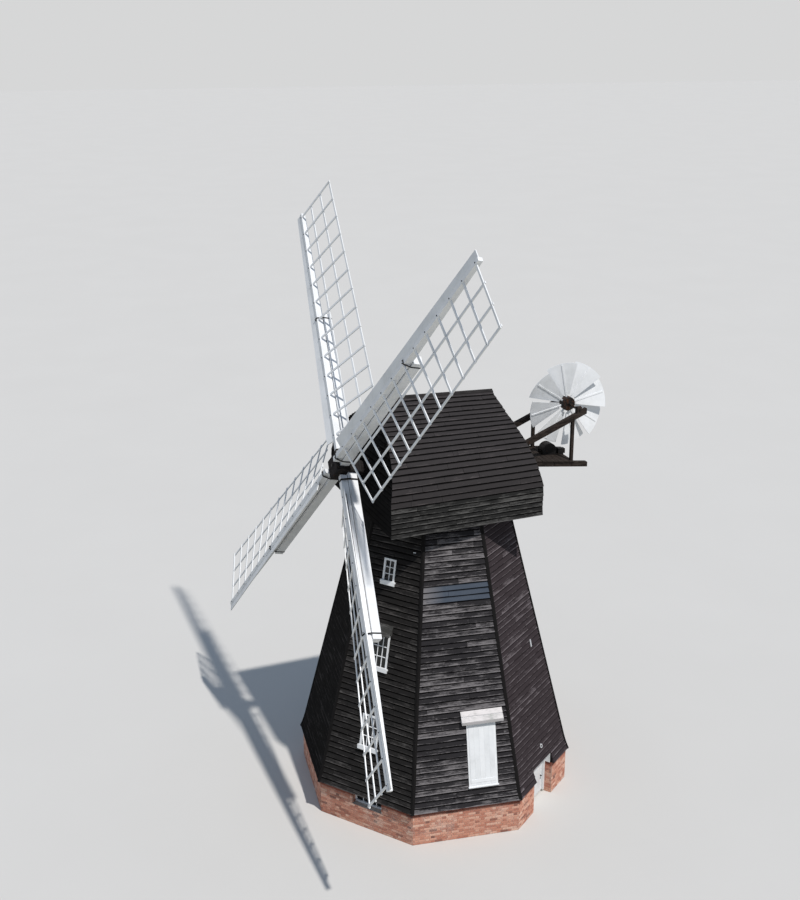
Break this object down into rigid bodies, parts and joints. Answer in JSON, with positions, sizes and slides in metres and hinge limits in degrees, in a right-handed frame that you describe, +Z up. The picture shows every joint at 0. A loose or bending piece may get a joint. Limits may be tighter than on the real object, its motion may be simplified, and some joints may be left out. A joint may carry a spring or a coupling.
{
  "type": "smock windmill",
  "caption": "Octagonal boarded tower on a low brick base with a turning cap, open lattice sails on a tilted windshaft and a fantail that keeps them facing the wind.",
  "frame": {"origin": "middle of the octagonal base, on the plane that its foot stands on", "axes": "+Z up; -Y is the side with the upper door; the ground door is 45 degrees round from it towards +X, and the sails face 81 degrees round from it towards -X"},
  "size_m": [11.4644, 14.7814, 18.1071],
  "materials": {
    "brick": "weathered red brick",
    "tarred_boards": "black tar, weathered",
    "white_paint": "white paint, matt",
    "dark_timber": "dark brown, weathered",
    "floor_boards": "bare boards",
    "floor_stone": "worn flags",
    "iron": "black paint",
    "window_glass": "clear"
  },
  "bodies": {
    "tower": {"base_back": "brick", "base_back_left": "brick", "base_back_right": "brick", "base_front": "brick", "base_front_left": "brick", "base_front_right_left_pier": "brick", "base_front_right_right_pier": "brick", "base_left": "brick", "base_right": "brick", "curb": "dark_timber", "first_floor": "floor_boards", "ground_door_frame": "white_paint", "ground_floor": "floor_stone", "second_floor": "floor_boards", "third_floor": "floor_boards", "upper_door": "white_paint", "upper_door_frame": "white_paint", "upper_door_hood": "white_paint", "wall_back": "tarred_boards", "wall_back_left": "tarred_boards", "wall_back_right": "tarred_boards", "wall_front": "tarred_boards", "wall_front_left": "tarred_boards", "wall_front_right": "tarred_boards", "wall_left": "tarred_boards", "wall_right": "tarred_boards", "window_frames": "white_paint", "window_glass": "window_glass"},
    "ground_door_leaf": {"ground_door": "white_paint"},
    "cap": {"cap_left_side": "tarred_boards", "cap_right_side": "tarred_boards", "cap_front": "tarred_boards", "cap_rear": "tarred_boards", "cap_ridge": "tarred_boards", "cap_frame": "dark_timber", "fan_frame": "dark_timber", "fan_stage": "dark_timber", "fan_drive": "iron"},
    "sails": {"windshaft": "iron", "inner_stock": "white_paint", "outer_stock": "white_paint", "sail_1": "white_paint", "sail_2": "white_paint", "sail_3": "white_paint", "sail_4": "white_paint"},
    "fan": {"fan_hub": "iron", "fan_vanes": "white_paint"}
  },
  "joints": [
    {"name": "ground_door_hinge", "type": "hinge", "parent": "tower", "child": "ground_door_leaf", "pos_m": [2.15173, -2.89843, 0.7], "axis": [0, 0, 1], "range_deg": [0, 95]},
    {"name": "cap_turn", "type": "hinge", "parent": "tower", "child": "cap", "pos_m": [0, 0, 9.6], "axis": [0, 0, 1], "continuous": true},
    {"name": "windshaft_turn", "type": "hinge", "parent": "cap", "child": "sails", "pos_m": [0, 0, 10.065], "axis": [-0.9643, -0.1534, 0.2158], "continuous": true},
    {"name": "fan_turn", "type": "hinge", "parent": "cap", "child": "fan", "pos_m": [4.38288, 0.69732, 11.752], "axis": [0.1571, -0.9876, 0], "continuous": true}
  ]
}
